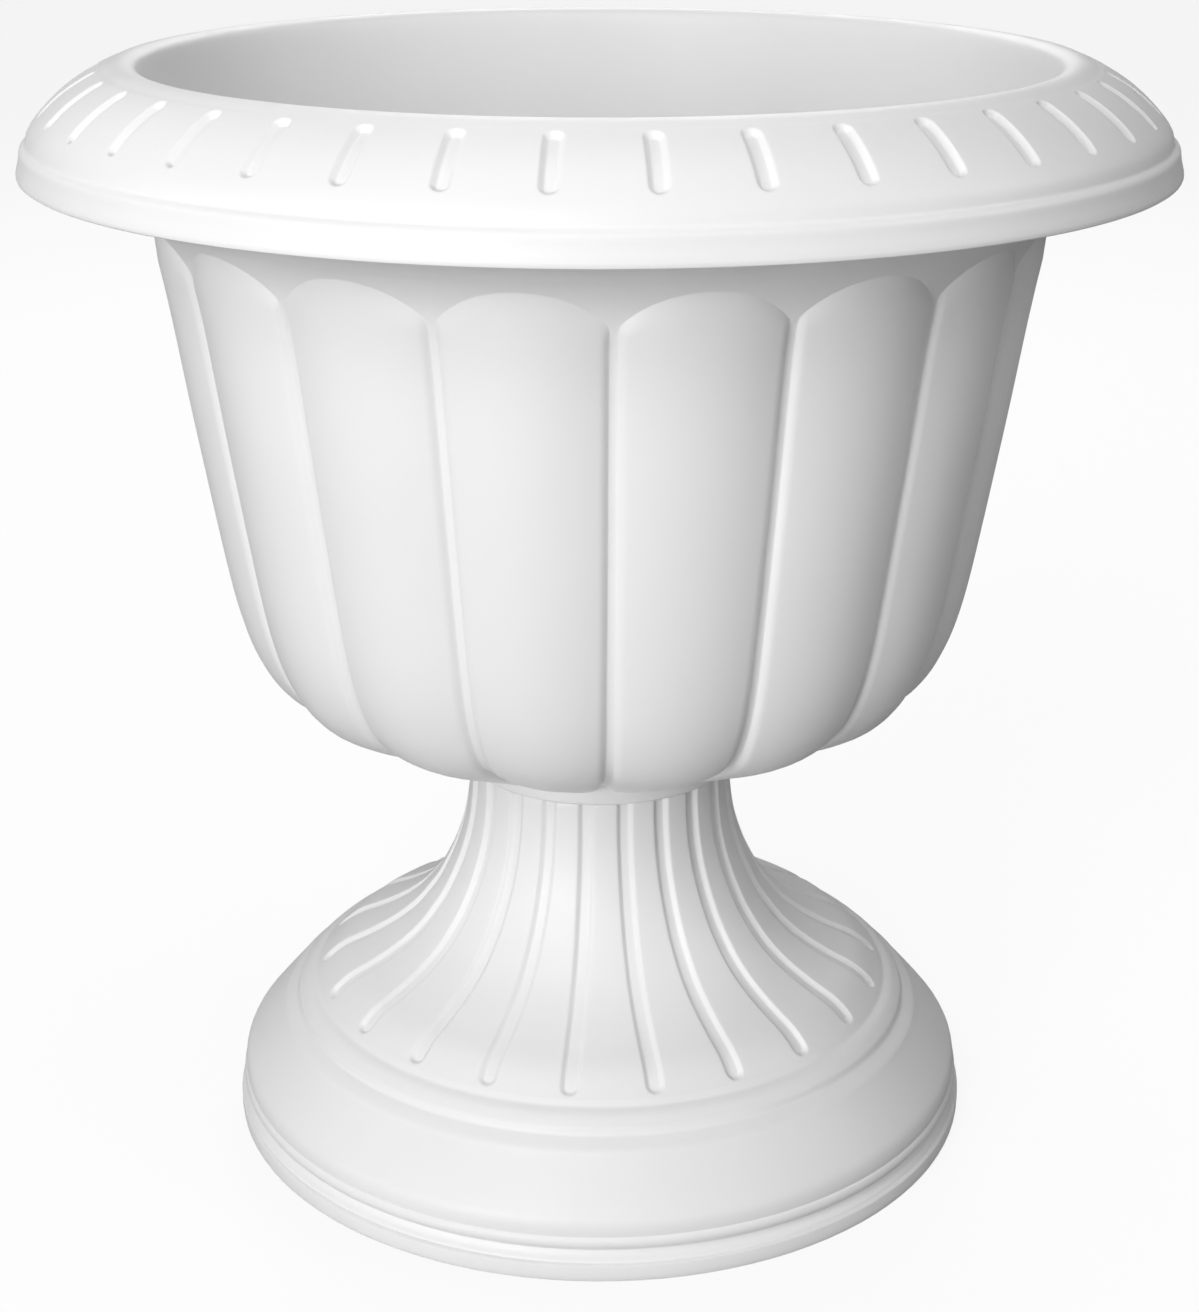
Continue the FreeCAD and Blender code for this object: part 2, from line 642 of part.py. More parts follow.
nut = new_body("wing_nut")
zn = z_web - V["washer_thickness"]
hn = V["nut_height"]
rn = V["nut_hub_diameter"] / 2
sk = new_sketch(nut, "nut_hub_section")
outline(sk, [("line", [(0, zn), (rn, zn), (rn, zn - 1.5), (rn - 1.6, zn - hn), (0, zn - hn), (0, zn)])])
revolve(nut, "nut_hub", sk)
sk = new_sketch(nut, "nut_wings_outline")
outline(sk, [
    ("line", [(-4.5, zn - 0.8), (4.5, zn - 0.8), (9.0, zn - 1.2)]),
    ("curve", [(9.0, zn - 1.2), (13.5, zn - 4.0), (17.2, zn - 9.0), (18.4, zn - 13.6)]),
    ("curve", [(18.4, zn - 13.6), (17.6, zn - 16.0), (15.2, zn - 16.8), (13.0, zn - 15.4)]),
    ("curve", [(13.0, zn - 15.4), (10.6, zn - 11.6), (7.6, zn - 8.6), (5.2, zn - 7.4)]),
    ("line", [(5.2, zn - 7.4), (-5.2, zn - 7.4)]),
    ("curve", [(-5.2, zn - 7.4), (-7.6, zn - 8.6), (-10.6, zn - 11.6), (-13.0, zn - 15.4)]),
    ("curve", [(-13.0, zn - 15.4), (-15.2, zn - 16.8), (-17.6, zn - 16.0), (-18.4, zn - 13.6)]),
    ("curve", [(-18.4, zn - 13.6), (-17.2, zn - 9.0), (-13.5, zn - 4.0), (-9.0, zn - 1.2)]),
    ("line", [(-9.0, zn - 1.2), (-4.5, zn - 0.8)]),
])
pad(nut, "nut_wings", sk, V["nut_wing_thickness"], "Sizes.nut_wing_thickness", symmetric=True)
doc.recompute()
sk = new_sketch(nut, "nut_bore_circle", "XY_Plane")
circle(sk, 0, 0, V["nut_bore"] / 2, "nut_bore")
pocket_through(nut, "nut_threaded_bore", sk)
doc.recompute()

# ---------------------------------------------------------------- drain plug
plug = new_body("drain_plug")
sk = new_sketch(plug, "plug_section")
rf, rp = V["plug_flange_diameter"] / 2, V["plug_diameter"] / 2
tf, dp = V["plug_flange_thickness"], V["plug_depth"]
outline(sk, [
    ("line", [(0, -dp + 3.0), (4.6, -dp + 3.0), (5.2, -dp), (rp - 0.9, -dp), (rp, -dp + 2.2), (rp, 0),
              (rf, 0)]),
    ("curve", [(rf, 0), (rf + 0.3, 0.6 * tf), (rf - 0.9, tf)]),
    ("line", [(rf - 0.9, tf), (0, tf), (0, -dp + 3.0)]),
])
revolve(plug, "plug_turned", sk)
sk = new_sketch(plug, "plug_tab_outline")
outline(sk, [
    ("line", [(-7.0, tf - 0.4), (7.0, tf - 0.4), (6.4, tf + 6.0)]),
    ("arc", (6.4, tf + 6.0), (0, tf + 12.0), (-6.4, tf + 6.0)),
    ("line", [(-6.4, tf + 6.0), (-7.0, tf - 0.4)]),
])
outline(sk, [
    ("arc", (-3.2, tf + 6.0), (0, tf + 2.8), (3.2, tf + 6.0)),
    ("arc", (3.2, tf + 6.0), (0, tf + 9.2), (-3.2, tf + 6.0)),
])
pad(plug, "plug_tab", sk, V["plug_tab_thickness"], "Sizes.plug_tab_thickness", symmetric=True)
plug.Placement = Placement(Vector(V["drain_offset"], 0, z_floor), Rotation())

doc.recompute()

# ---------------------------------------------------------------- checks and files
pieces = [bowl, pedestal, bolt, sealing, upper, lower, nut, plug]
bad = [o.Name for o in doc.Objects if "Invalid" in o.State or "Error" in o.State]
if bad:
    raise RuntimeError("failed features: %s" % bad)
for o in pieces:
    s = o.Shape
    if s.isNull() or not s.isValid() or len(s.Solids) < 1:
        raise RuntimeError("bad shape: %s %s" % (o.Label, None if s.isNull() else s.isValid()))
os.makedirs("parts", exist_ok=True)
for o in pieces:
    o.Shape.exportStep("parts/%s.step" % o.Label)
    bb = o.Shape.BoundBox
    print("%-15s solids %d faces %d volume %.0f mm3  box %.1f..%.1f %.1f..%.1f %.1f..%.1f" % (
        o.Label, len(o.Shape.Solids), len(o.Shape.Faces), o.Shape.Volume,
        bb.XMin, bb.XMax, bb.YMin, bb.YMax, bb.ZMin, bb.ZMax))
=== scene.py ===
import math

import bpy
import numpy as np
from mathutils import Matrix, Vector
from mathutils.geometry import delaunay_2d_cdt


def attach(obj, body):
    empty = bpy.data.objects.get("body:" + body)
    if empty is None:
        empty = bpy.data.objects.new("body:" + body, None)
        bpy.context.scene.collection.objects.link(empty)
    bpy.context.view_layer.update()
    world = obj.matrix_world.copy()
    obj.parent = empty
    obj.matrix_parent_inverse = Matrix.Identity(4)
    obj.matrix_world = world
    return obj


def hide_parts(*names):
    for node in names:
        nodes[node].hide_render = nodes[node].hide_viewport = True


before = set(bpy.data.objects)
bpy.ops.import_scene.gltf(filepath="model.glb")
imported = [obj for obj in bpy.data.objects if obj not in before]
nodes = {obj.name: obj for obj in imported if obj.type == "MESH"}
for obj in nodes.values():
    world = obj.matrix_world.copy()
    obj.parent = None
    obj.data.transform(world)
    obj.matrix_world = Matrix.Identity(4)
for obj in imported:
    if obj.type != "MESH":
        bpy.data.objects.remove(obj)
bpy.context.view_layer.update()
MM = 0.001


# ------------------------------------------------------------------ curves
def spline(pts):
    """Smooth curve through (radius, height) points: returns f(s) -> position, unit tangent, and its length."""
    P = np.array(pts, float)
    d = np.r_[0, np.cumsum(np.hypot(*np.diff(P, axis=0).T))]
    n, h = len(d), np.diff(d)
    A, B = np.zeros((n, n)), np.zeros((n, 2))
    A[0, 0] = A[-1, -1] = 1
    for i in range(1, n - 1):
        A[i, i - 1], A[i, i], A[i, i + 1] = h[i - 1], 2 * (h[i - 1] + h[i]), h[i]
        B[i] = 6 * ((P[i + 1] - P[i]) / h[i] - (P[i] - P[i - 1]) / h[i - 1])
    M = np.linalg.solve(A, B)

    def f(s):
        s = np.clip(np.asarray(s, float), 0, d[-1])
        i = np.clip(np.searchsorted(d, s, side="right") - 1, 0, n - 2)
        hi = h[i][..., None]
        a, b = ((d[i + 1] - s) / h[i])[..., None], ((s - d[i]) / h[i])[..., None]
        pos = a * P[i] + b * P[i + 1] + ((a ** 3 - a) * M[i] + (b ** 3 - b) * M[i + 1]) * hi ** 2 / 6
        der = (P[i + 1] - P[i]) / hi + (-(3 * a * a - 1) * M[i] + (3 * b * b - 1) * M[i + 1]) * hi / 6
        return pos, der / np.linalg.norm(der, axis=-1, keepdims=True)

    return f, d[-1]


def solve(fun, lo, hi, n=40):
    """Root of a rising function, by halving, on arrays."""
    lo, hi = lo.copy(), hi.copy()
    for _ in range(n):
        mid = 0.5 * (lo + hi)
        up = fun(mid) < 0
        lo = np.where(up, mid, lo)
        hi = np.where(up, hi, mid)
    return 0.5 * (lo + hi)


def polar(R, Z, phi):
    """Azimuth phi from the front (-Y), growing to +X."""
    return np.stack([R * np.sin(phi), -R * np.cos(phi), Z + 0 * phi], -1)


# ------------------------------------------------------------------ closed skins
class Skin:
    """Rings of points joined into one closed surface."""

    def __init__(self):
        self.v, self.f, self.n, self.creases = [], [], 0, []

    def ring(self, pts):
        i = np.arange(len(pts)) + self.n
        self.v.append(np.asarray(pts, float))
        self.n += len(pts)
        return i

    def join(self, a, b):
        if len(a) == len(b):
            a2, b2 = np.roll(a, -1), np.roll(b, -1)
            self.f += np.stack([a, a2, b2, b], 1).tolist()
            return
        # rings of different counts: step along whichever lags behind in angle
        V = np.concatenate(self.v)
        ta = np.unwrap(np.arctan2(V[a, 0], -V[a, 1]))
        tb = np.unwrap(np.arctan2(V[b, 0], -V[b, 1]))
        k = int(np.argmin(np.abs(np.angle(np.exp(1j * (tb - ta[0]))))))
        b = np.roll(b, -k)
        tb = np.unwrap(np.arctan2(V[b, 0], -V[b, 1]))
        tb += 2 * np.pi * round((ta[0] - tb[0]) / (2 * np.pi))
        i = j = 0
        na, nb = len(a), len(b)
        ta = np.r_[ta, ta[0] + 2 * np.pi]
        tb = np.r_[tb, tb[0] + 2 * np.pi]
        while i < na or j < nb:
            if j >= nb or (i < na and ta[i + 1] <= tb[j + 1]):
                self.f.append([int(a[i % na]), int(a[(i + 1) % na]), int(b[j % nb])])
                i += 1
            else:
                self.f.append([int(a[i % na]), int(b[(j + 1) % nb]), int(b[j % nb])])
                j += 1

    def rows(self, rows, prev=None):
        for pts in rows:
            cur = self.ring(pts)
            if prev is not None:
                self.join(prev, cur)
            prev = cur
        return prev

    def plate(self, outer, holes):
        """Flat face between an outer ring and inner rings, all at one height."""
        V = np.concatenate(self.v)
        loops = [outer] + holes
        idx = np.concatenate(loops)
        co = [Vector((V[i, 0], V[i, 1])) for i in idx]
        edges, o = [], 0
        for lp in loops:
            m = len(lp)
            edges += [(o + i, o + (i + 1) % m) for i in range(m)]
            o += m
        out_v, _e, tris, orig, _a, _b = delaunay_2d_cdt(co, edges, [], 0, 1e-6)
        back = [idx[w[0]] for w in orig]
        rings = [(V[lp][:, :2].mean(0), np.linalg.norm(V[lp][:, :2] - V[lp][:, :2].mean(0), axis=1).mean()) for lp in holes]
        for t in tris:
            c = sum((np.array(out_v[i]) for i in t), np.zeros(2)) / 3
            if any(np.linalg.norm(c - m) < r * 0.995 for m, r in rings):
                continue
            self.f.append([int(back[i]) for i in t])

    def build(self, name, angle=32):
        V = np.concatenate(self.v) * MM
        me = bpy.data.meshes.new(name)
        me.from_pydata(V.tolist(), [], self.f)
        me.validate()
        import bmesh
        bm = bmesh.new()
        bm.from_mesh(me)
        bmesh.ops.recalc_face_normals(bm, faces=bm.faces[:])
        bm.to_mesh(me)
        bm.free()
        me.shade_smooth()
        me.set_sharp_from_angle(angle=math.radians(angle))
        if self.creases:
            a = np.concatenate(self.creases)
            b = np.concatenate([np.roll(c, -1) for c in self.creases])
            want = np.minimum(a, b) * len(V) + np.maximum(a, b)
            ev = np.empty(2 * len(me.edges), int)
            me.edges.foreach_get("vertices", ev)
            ev = ev.reshape(-1, 2)
            hit = np.isin(ev.min(1) * len(V) + ev.max(1), want)
            for i in np.nonzero(hit)[0]:
                me.edges[int(i)].use_edge_sharp = True
        ob = bpy.data.objects.new(name, me)
        bpy.context.scene.collection.objects.link(ob)
        return ob


def circle_ring(x, y, r, z, n=48):
    a = np.linspace(0, 2 * np.pi, n, endpoint=False)
    return np.stack([x + r * np.cos(a), y + r * np.sin(a), np.full(n, z)], 1)


# ------------------------------------------------------------------ bowl: lobes
LOBES, SEAM0 = 17, math.radians(1.6)
PITCH = 2 * math.pi / LOBES
CREST = [(50, 162.6), (57.2, 165.8), (70, 171.3), (80, 175.7), (90, 180.1), (104, 186.2), (116, 191.6),
         (126, 196.9), (133, 201.6), (138.4, 207.0), (142.6, 212.8), (146.3, 219.8),
         (149.4, 227.2), (151.9, 235.0), (155.1, 248.2), (158.8, 268.4), (162.2, 289.0),
         (165.5, 309.4), (168.6, 329.2), (171.5, 348.8), (174.5, 368.4), (177.1, 383.4),
         (178.9, 393.0), (180.4, 401.0), (182.0, 409.5)]
COVE = [(171.6, 384.0), (174.1, 392.0), (177.5, 398.0), (181.6, 403.0), (186.0, 407.0),
        (190.4, 410.0), (197.0, 413.0), (205.0, 415.6), (214.0, 417.4)]
crest, CL = spline(CREST)


def height_of(r):
    return 2.6 + 0.1275 * (np.pi * r / LOBES - 5.3)


def floor_points():
    s = np.linspace(0, CL, 400)
    pos, tan = crest(s)
    h = height_of(pos[:, 0])
    F = pos - np.stack([tan[:, 1], -tan[:, 0]], 1) * h[:, None]
    F = F[pos[:, 1] < 372][::12]
    return [tuple(p) for p in F] + COVE


floor, FL = spline(floor_points())
_fs = np.linspace(0, FL, 6000)
_fp = floor(_fs)[0]


def table_depth():
    """Depth of the seam floor under the crest line, measured square to it."""
    s = np.linspace(0, CL, 700)
    pos, tan = crest(s)
    out = []
    for p, t in zip(pos, tan):
        n = np.array([t[1], -t[0]])
        w = _fp - p
        a, h = w @ t, -(w @ n)
        ok = (h > -1) & (h < 15)
        k = np.where(ok[:-1] & ok[1:] & (np.sign(a[:-1]) != np.sign(a[1:])))[0]
        out.append(h[k[0]] if len(k) else np.nan)
    out = np.array(out)
    good = ~np.isnan(out)
    return s, np.interp(s, s[good], out[good])


_ds, _dh = table_depth()


def lobe_point(s, q, sink=0.0, inset=0.0, q0=1.55, q2=5.3):
    """Point of the lobed skin: s along the crest line, q from the seam's centre line (mm)."""
    pos, tan = crest(s)
    r = pos[..., 0]
    p = np.pi * r / LOBES
    deep = np.interp(s, _ds, _dh)
    H = 2.6 + 0.1275 * (p - 5.3)
    # rounded shoulder of the seam wall, then the bulged face
    k = np.clip((q - q0) / (q2 - q0), 0, 1)
    wall = 2.6 * np.sin(k * np.pi / 2)
    face = H - 0.1275 * (p - q) ** 2 / (p - 5.3)
    rel = np.where(q >= q2, face, np.minimum(wall, 2.6)) * deep / H
    rel = np.maximum(rel - sink, 0)
    off = rel - deep - inset
    R = r + tan[..., 1] * off
    Z = pos[..., 1] - tan[..., 0] * off
    return R, Z, q / r, rel


def lobe_columns(q0, q2):
    """Columns of half a lobe: fixed millimetres over seam floor and wall, then shares of the face."""
    k = np.array([0, .18, .4, .68, 1.0])
    return np.r_[0, q0 - 0.15], q0 + (q2 - q0) * k[1:], np.array([.1, .28, .5, .74, 1.0])


def lobe_grid(q0, q2):
    """Columns of half a lobe, as distances from the seam's centre line at any s."""
    a, b, c = lobe_columns(q0, q2)
    fixed = np.r_[a, q0 + 0.12, b]
    nf, nc = len(fixed), len(c)
    n = nf + nc - 1                       # intervals of a half lobe

    def q_of(s):
        r = crest(s)[0][..., 0]
        p = np.pi * r / LOBES
        q = np.empty(np.shape(s))
        for i in range(n + 1):
            q[..., i] = fixed[i] if i < nf else q2 + (p[..., i] - q2) * c[i - nf]
        return q

    return n, q_of


def spread(A, q):
    """Half-lobe rows to whole rings: A and q/r have n+1 columns."""
    R, Z, ang = A
    n = R.shape[-1] - 1
    out_phi, out_R, out_Z = [], [], []
    for k in range(LOBES):
        base = SEAM0 + k * PITCH
        out_phi += [base + ang[:n + 1], base + PITCH - ang[n - 1:0:-1]]
        out_R += [R[:n + 1], R[n - 1:0:-1]]
        out_Z += [Z[:n + 1], Z[n - 1:0:-1]]
    return polar(np.concatenate(out_R), np.concatenate(out_Z), np.concatenate(out_phi))


def arch(t, peak, radius):
    """Height of the arched top at t from the lobe's centre line."""
    return peak - radius + np.sqrt(np.maximum(radius ** 2 - t * t, 1.0))


def soft_min(a, b, k):
    h = np.clip(0.5 + 0.5 * (b - a) / k, 0, 1)
    return b * (1 - h) + a * h - k * h * (1 - h)


def lobed_skin(peak, inset, q0, q2, r_start, fine, rise=0.5, soft=1.6):
    """Rows from the collar up to the arched line where the lobes run out into the plain cove.
    Returns the rows, bottom to top, and the last row as radius, height and angle."""
    n, q_of = lobe_grid(q0, q2)
    ones = np.ones(n + 1)

    def low(s):
        return lobe_point(s, q_of(s), 0, inset, q0, q2)[0] - r_start

    def gap(s):
        """How far the seam floor at s lies below the arched line."""
        q = q_of(s)
        p = np.pi * crest(s)[0][..., 0] / LOBES
        return arch(p - q, peak, 44.0) - lobe_point(s, q, 99, inset, q0, q2)[1]

    s0 = solve(low, 0 * ones, 60 * ones)
    sA = np.interp(370, crest(np.linspace(0, CL, 900))[0][:, 1], np.linspace(0, CL, 900))
    s1 = solve(lambda s: -gap(s), (sA - 25) * ones, CL * ones)
    # spacing: close on the turn of the bowl, wide on the straight side, close under the arch
    knots = [(0, 3.2), (40, 3.6), (80, 2.6), (125, 2.6), (150, 4.5), (190, 8), (280, 8), (318, 5), (330, 2.4)]
    kx, ky = zip(*knots)
    total = float((s1 - 7.6).max() - s0.min())
    pos, x = [0.0], 0.0
    while x < total - 1.2:
        x += np.interp(x, kx, ky) * fine
        pos.append(x)
    f = np.array(pos[:-1] + [total]) / total
    stations = [s0 + (s1 - 7.6 - s0) * g for g in f]
    stations += [s1 - d for d in (6.0, 4.7, 3.7, 2.9, 2.2, 1.6, 1.1, 0.65, 0.3, 0.0)]
    rows = []
    for s in stations:
        q = q_of(s)
        rel = lobe_point(s, q, 0, inset, q0, q2)[3]
        high = np.clip(soft_min(rel, rise * gap(s), soft), 0, rel)
        R, Z, ang, _ = lobe_point(s, q, rel - high, inset, q0, q2)
        rows.append(spread((R, Z, ang), q))
    return rows, (R, Z, ang)


SPLIT_Z = 404.0
f_split = float(np.interp(SPLIT_Z, _fp[:, 1], _fs))

low_rows, (lr, lz, la) = lobed_skin(401.0, 0.0, 1.55, 5.3, 58.2, 1.0)
skin = Skin()

# underside of the bowl's floor and its collar
outline = low_rows[0]
phi0 = np.arctan2(outline[:, 0], -outline[:, 1])
bolt_lo = skin.ring(circle_ring(0, 0, 4.5, 160.5, 40))
drain_lo = skin.ring(circle_ring(33, 0, 8.0, 160.5, 48))
bottom = skin.ring(polar(np.full(len(phi0), 56.6), np.full(len(phi0), 160.5), phi0))
skin.plate(bottom, [bolt_lo, drain_lo])
collar = [(57.6, 160.8), (58.05, 161.3), (58.2, 161.9)]
prev = skin.rows([polar(np.full(len(phi0), r), np.full(len(phi0), z), phi0) for r, z in collar], bottom)
prev = skin.rows([np.c_[outline[:, :2], 161.9 + (outline[:, 2] - 161.9) * k] for k in (.4, .8)], prev)
prev = skin.rows(low_rows, prev)
skin.creases.append(prev)

# plain cove above the arches
foot = np.array([np.interp(z, _fp[:, 1], _fs) for z in lz])
for k in np.linspace(0, 1, 9)[1:]:
    s = foot + (f_split - foot) * k
    P = floor(s)[0]
    prev = skin.rows([spread((P[:, 0], P[:, 1], la), None)], prev)

# ------------------------------------------------------------------ bowl: rim
SLOTS, SLOT0 = 39, math.radians(5.0)
SLOT_W, SLOT_D, SLOT_WALL = 3.6, 2.1, 1.7
DOME = [(223.8, 432.0), (223.45, 434.0), (222.4, 436.0), (221.5, 437.3), (219.9, 439.2), (217.0, 442.3),
        (213.9, 445.3), (210.1, 448.5), (205.6, 451.7), (202.6, 453.5), (199.5, 455.2), (195.8, 457.0)]
ROLL = [(195.8, 457.0), (194.6, 457.35), (193.6, 457.7), (192.0, 458.5), (190.0, 459.3), (187.8, 459.68),
        (186.5, 459.7), (185.0, 459.6), (183.2, 459.1), (181.7, 458.4), (180.6, 457.4), (180.0, 456.2)]
dome, DL = spline(DOME)
_dr = dome(np.linspace(0, DL, 1200))[0][::-1, 0]
_dsr = np.linspace(0, DL, 1200)[::-1]
e0, e1 = np.interp(218.9, _dr, _dsr), np.interp(195.9, _dr, _dsr)      # lower and upper ends of the slots
s_mid, SLOT_L = 0.5 * (e0 + e1), e1 - e0
lip = [(221.0, 418.0), (226.4, 418.2), (227.5, 418.4), (228.1, 418.8), (228.35, 419.5), (228.25, 420.6),
       (227.6, 423.0), (227.1, 424.9), (226.85, 426.6), (226.68, 427.9), (226.45, 428.8), (226.0, 429.5),
       (225.4, 430.0), (224.8, 430.35), (224.35, 430.65), (224.05, 431.05), (223.9, 431.5)]
prof, slot_s = [], []
for s in np.linspace(f_split, FL, 9)[0:]:
    P = floor(s)[0]
    prof.append(P)
    slot_s.append(None)
for P in lip:
    prof.append(np.array(P))
    slot_s.append(None)
ss = list(np.linspace(0, e0 - 0.6, 5)[:-1])
ss += list(np.arange(e0 - 0.6, e0 + 4.2, 0.4))
ss += list(np.linspace(ss[-1] + 0.9, e1 - 5.1, 6))
ss += list(np.arange(e1 - 4.2, e1 + 0.61, 0.4))
ss = [s for s in ss if s <= DL]
if DL - ss[-1] < 0.25:
    ss.pop()
ss.append(DL)
for s in ss:
    prof.append(dome(s)[0])
    slot_s.append(s)
for P in ROLL[1:]:
    prof.append(np.array(P))
    slot_s.append(None)
half_cols = np.array([0, 1.0, 1.6, 1.9, 2.2, 2.75, 3.3, 3.6, 3.9, 4.7])


def groove(inside, depth, wall, e=0.32):
    """Depth of a recess with sloped walls, a flat floor and softened corners; inside = distance from its outline."""
    def F(t):
        return np.where(t < -e, 0, np.where(t > e, t, (t + e) ** 2 / (4 * e)))
    return depth * (F(inside) - F(inside - wall)) / wall


def plain_ring(P, n=468):
    return polar(np.full(n, P[0]), np.full(n, P[1]), SLOT0 + np.arange(n) * 2 * np.pi / n)


def rim_ring(P, s):
    if s is None or s < e0 - 0.7:
        return plain_ring(P)
    r = P[0]
    p = np.pi * r / SLOTS
    t = np.r_[half_cols, 4.7 + (p - 4.7) * np.array([.4, 1.0])]
    n = len(t) - 1
    tt = np.r_[t[:n + 1], 2 * p - t[n - 1:0:-1]]
    dist = np.minimum(tt, 2 * p - tt)
    over = max(abs(s - s_mid) - (SLOT_L / 2 - SLOT_W), 0.0)
    depth = groove(SLOT_W - np.hypot(over, dist), SLOT_D, SLOT_WALL)
    pos, tan = dome(s)
    R, Z = pos[0] - tan[1] * depth, pos[1] + tan[0] * depth
    phi = np.concatenate([SLOT0 + i * 2 * np.pi / SLOTS + tt / r for i in range(SLOTS)])
    return polar(np.tile(R, SLOTS), np.tile(Z, SLOTS), phi)


prev = skin.rows([rim_ring(P, s) for P, s in zip(prof, slot_s)], prev)

# ------------------------------------------------------------------ bowl: inside
top_in, low_in = np.array([180.0, 456.2]), np.array([167.0, 373.0])
for z in (452.0, 444.0, 434.0, 422.0, 412.0, 404.0):
    k = (top_in[1] - z) / (top_in[1] - low_in[1])
    prev = skin.rows([rim_ring(top_in + (low_in - top_in) * k, None)], prev)
in_rows, (ir, iz, ia) = lobed_skin(385.0, 3.0, 3.8, 7.1, 54.5, 1.3)


def wall_r(z):
    return top_in[0] + (low_in[0] - top_in[0]) * (top_in[1] - z) / (top_in[1] - low_in[1])


z_in = [398.0, 393.0, 389.5]
last = in_rows[-1]
phi_l = np.arctan2(last[:, 0], -last[:, 1])
for z in z_in:
    prev = skin.rows([polar(np.full(len(phi_l), wall_r(z)), np.full(len(phi_l), z), phi_l)], prev)
prev = skin.rows(in_rows[::-1], prev)
well = in_rows[0]
phi_w = np.arctan2(well[:, 0], -well[:, 1])
prev = skin.rows([np.c_[well[:, :2], 165.9 + (well[:, 2] - 165.9) * k] for k in (.5, .0)], prev)
prev = skin.rows([polar(np.full(len(phi_w), r), np.full(len(phi_w), z), phi_w)
                  for r, z in ((54.2, 165.25), (53.5, 165.0))], prev)
bolt_hi = skin.ring(circle_ring(0, 0, 4.5, 165.0, 40))
drain_hi = skin.ring(circle_ring(33, 0, 8.0, 165.0, 48))
skin.plate(prev, [bolt_hi, drain_hi])
skin.join(bolt_lo, bolt_hi)
skin.join(drain_lo, drain_hi)
bowl = skin.build("bowl_moulding")

# ------------------------------------------------------------------ pedestal
LINES, LINE0 = 22, math.radians(2.45 + 0.5 * 360 / 22)
LINE_D, LINE_WALL = 1.8, 1.7
STEM = [(125.6, 60.6), (124.4, 61.7), (115.6, 69.2), (107.0, 73.4), (99.0, 77.5), (92.0, 81.7), (86.0, 86.2),
        (80.8, 91.1), (76.0, 97.0), (71.9, 102.6), (68.5, 108.8), (65.5, 115.0), (63.1, 121.0),
        (61.1, 127.0), (59.5, 133.0), (58.3, 139.0), (57.5, 145.0), (56.9, 151.0), (56.65, 159.2)]
stem, SL = spline(STEM)
base = [(158.9, 0.0), (161.6, 0.0), (162.25, .15), (162.6, 0.8), (162.8, 2.5), (162.8, 6.6), (162.65, 7.15),
        (162.2, 7.48), (161.6, 7.58), (161.1, 7.8), (160.92, 8.3), (160.6, 8.75), (159.9, 9.3), (159.2, 10.2),
        (158.7, 11.2), (158.42, 12.1), (158.6, 12.75), (159.3, 13.3), (160.2, 13.9), (160.8, 14.8),
        (161.05, 15.8), (161.0, 16.9), (160.7, 17.8), (160.2, 18.45), (159.85, 18.8), (159.9, 19.3),
        (160.05, 20.4), (160.05, 21.6), (159.9, 23.2), (159.5, 24.9), (158.8, 26.4), (157.9, 27.6),
        (156.5, 29.3), (153.6, 32.8), (150.0, 37.0), (146.4, 41.1), (144.4, 43.4), (143.2, 44.8),
        (142.3, 45.9), (141.9, 46.5), (141.3, 47.1), (140.2, 47.95), (138.6, 49.0), (137.2, 49.85),
        (136.5, 50.25), (136.1, 50.6), (135.8, 51.2), (135.55, 52.0), (135.4, 52.8), (135.1, 53.5),
        (134.5, 54.1), (133.2, 55.3), (131.9, 56.5), (130.6, 57.3), (129.2, 57.9), (128.0, 58.25),
        (127.3, 58.65), (126.8, 59.2), (126.3, 59.8), (125.9, 60.2)]
tip = 1.5                                  # arc length of the lines' lower ends
lcols = np.array([0, 1.0, 1.7, 2.0, 2.3, 2.85, 3.4, 3.7, 4.0, 4.8])


def line_half(s):
    """The lines narrow a little on their way up."""
    return 4.0 - 0.55 * min(max((s - 6.0) / 90.0, 0.0), 1.0)


def stem_ring(P, s):
    r = P[0]
    p = np.pi * r / LINES
    w = line_half(s or 0.0)
    t = np.r_[lcols * (w / 3.7), (4.8 * w / 3.7) + (p - 4.8 * w / 3.7) * np.array([.45, 1.0])]
    n = len(t) - 1
    tt = np.r_[t[:n + 1], 2 * p - t[n - 1:0:-1]]
    dist = np.minimum(tt, 2 * p - tt)
    R, Z = np.full(len(tt), r), np.full(len(tt), P[1])
    if s is not None:
        over = max(tip + w - s, 0.0)
        depth = groove(w - np.hypot(over, dist), LINE_D, LINE_WALL)
        pos, tan = stem(s)
        # the stem's line runs inwards and up: its outward side is to the right of the way up
        R, Z = pos[0] - tan[1] * depth, pos[1] + tan[0] * depth
    phi = np.concatenate([LINE0 + i * 2 * np.pi / LINES + tt / r for i in range(LINES)])
    return polar(np.tile(R, LINES), np.tile(Z, LINES), phi)


skin = Skin()
first = skin.ring(stem_ring(np.array(base[0]), None))
prev = skin.rows([stem_ring(np.array(P), None) for P in base[1:]], first)
sr = list(np.arange(0.0, tip + 4.8, 0.4)) + list(np.arange(tip + 6.0, SL - 1.2, 2.9)) + [SL]
prev = skin.rows([stem_ring(stem(s)[0], s) for s in sr], prev)
# softened top edge, which leaves a fine parting line under the bowl's collar
edge = stem_ring(stem(SL)[0], SL)
for less, z in ((0.12, 159.7), (0.45, 160.2), (1.0, 160.5)):
    k = 1 - less / np.hypot(edge[:, 0], edge[:, 1])
    prev = skin.rows([np.c_[edge[:, 0] * k, edge[:, 1] * k, np.full(len(edge), z)]], prev)
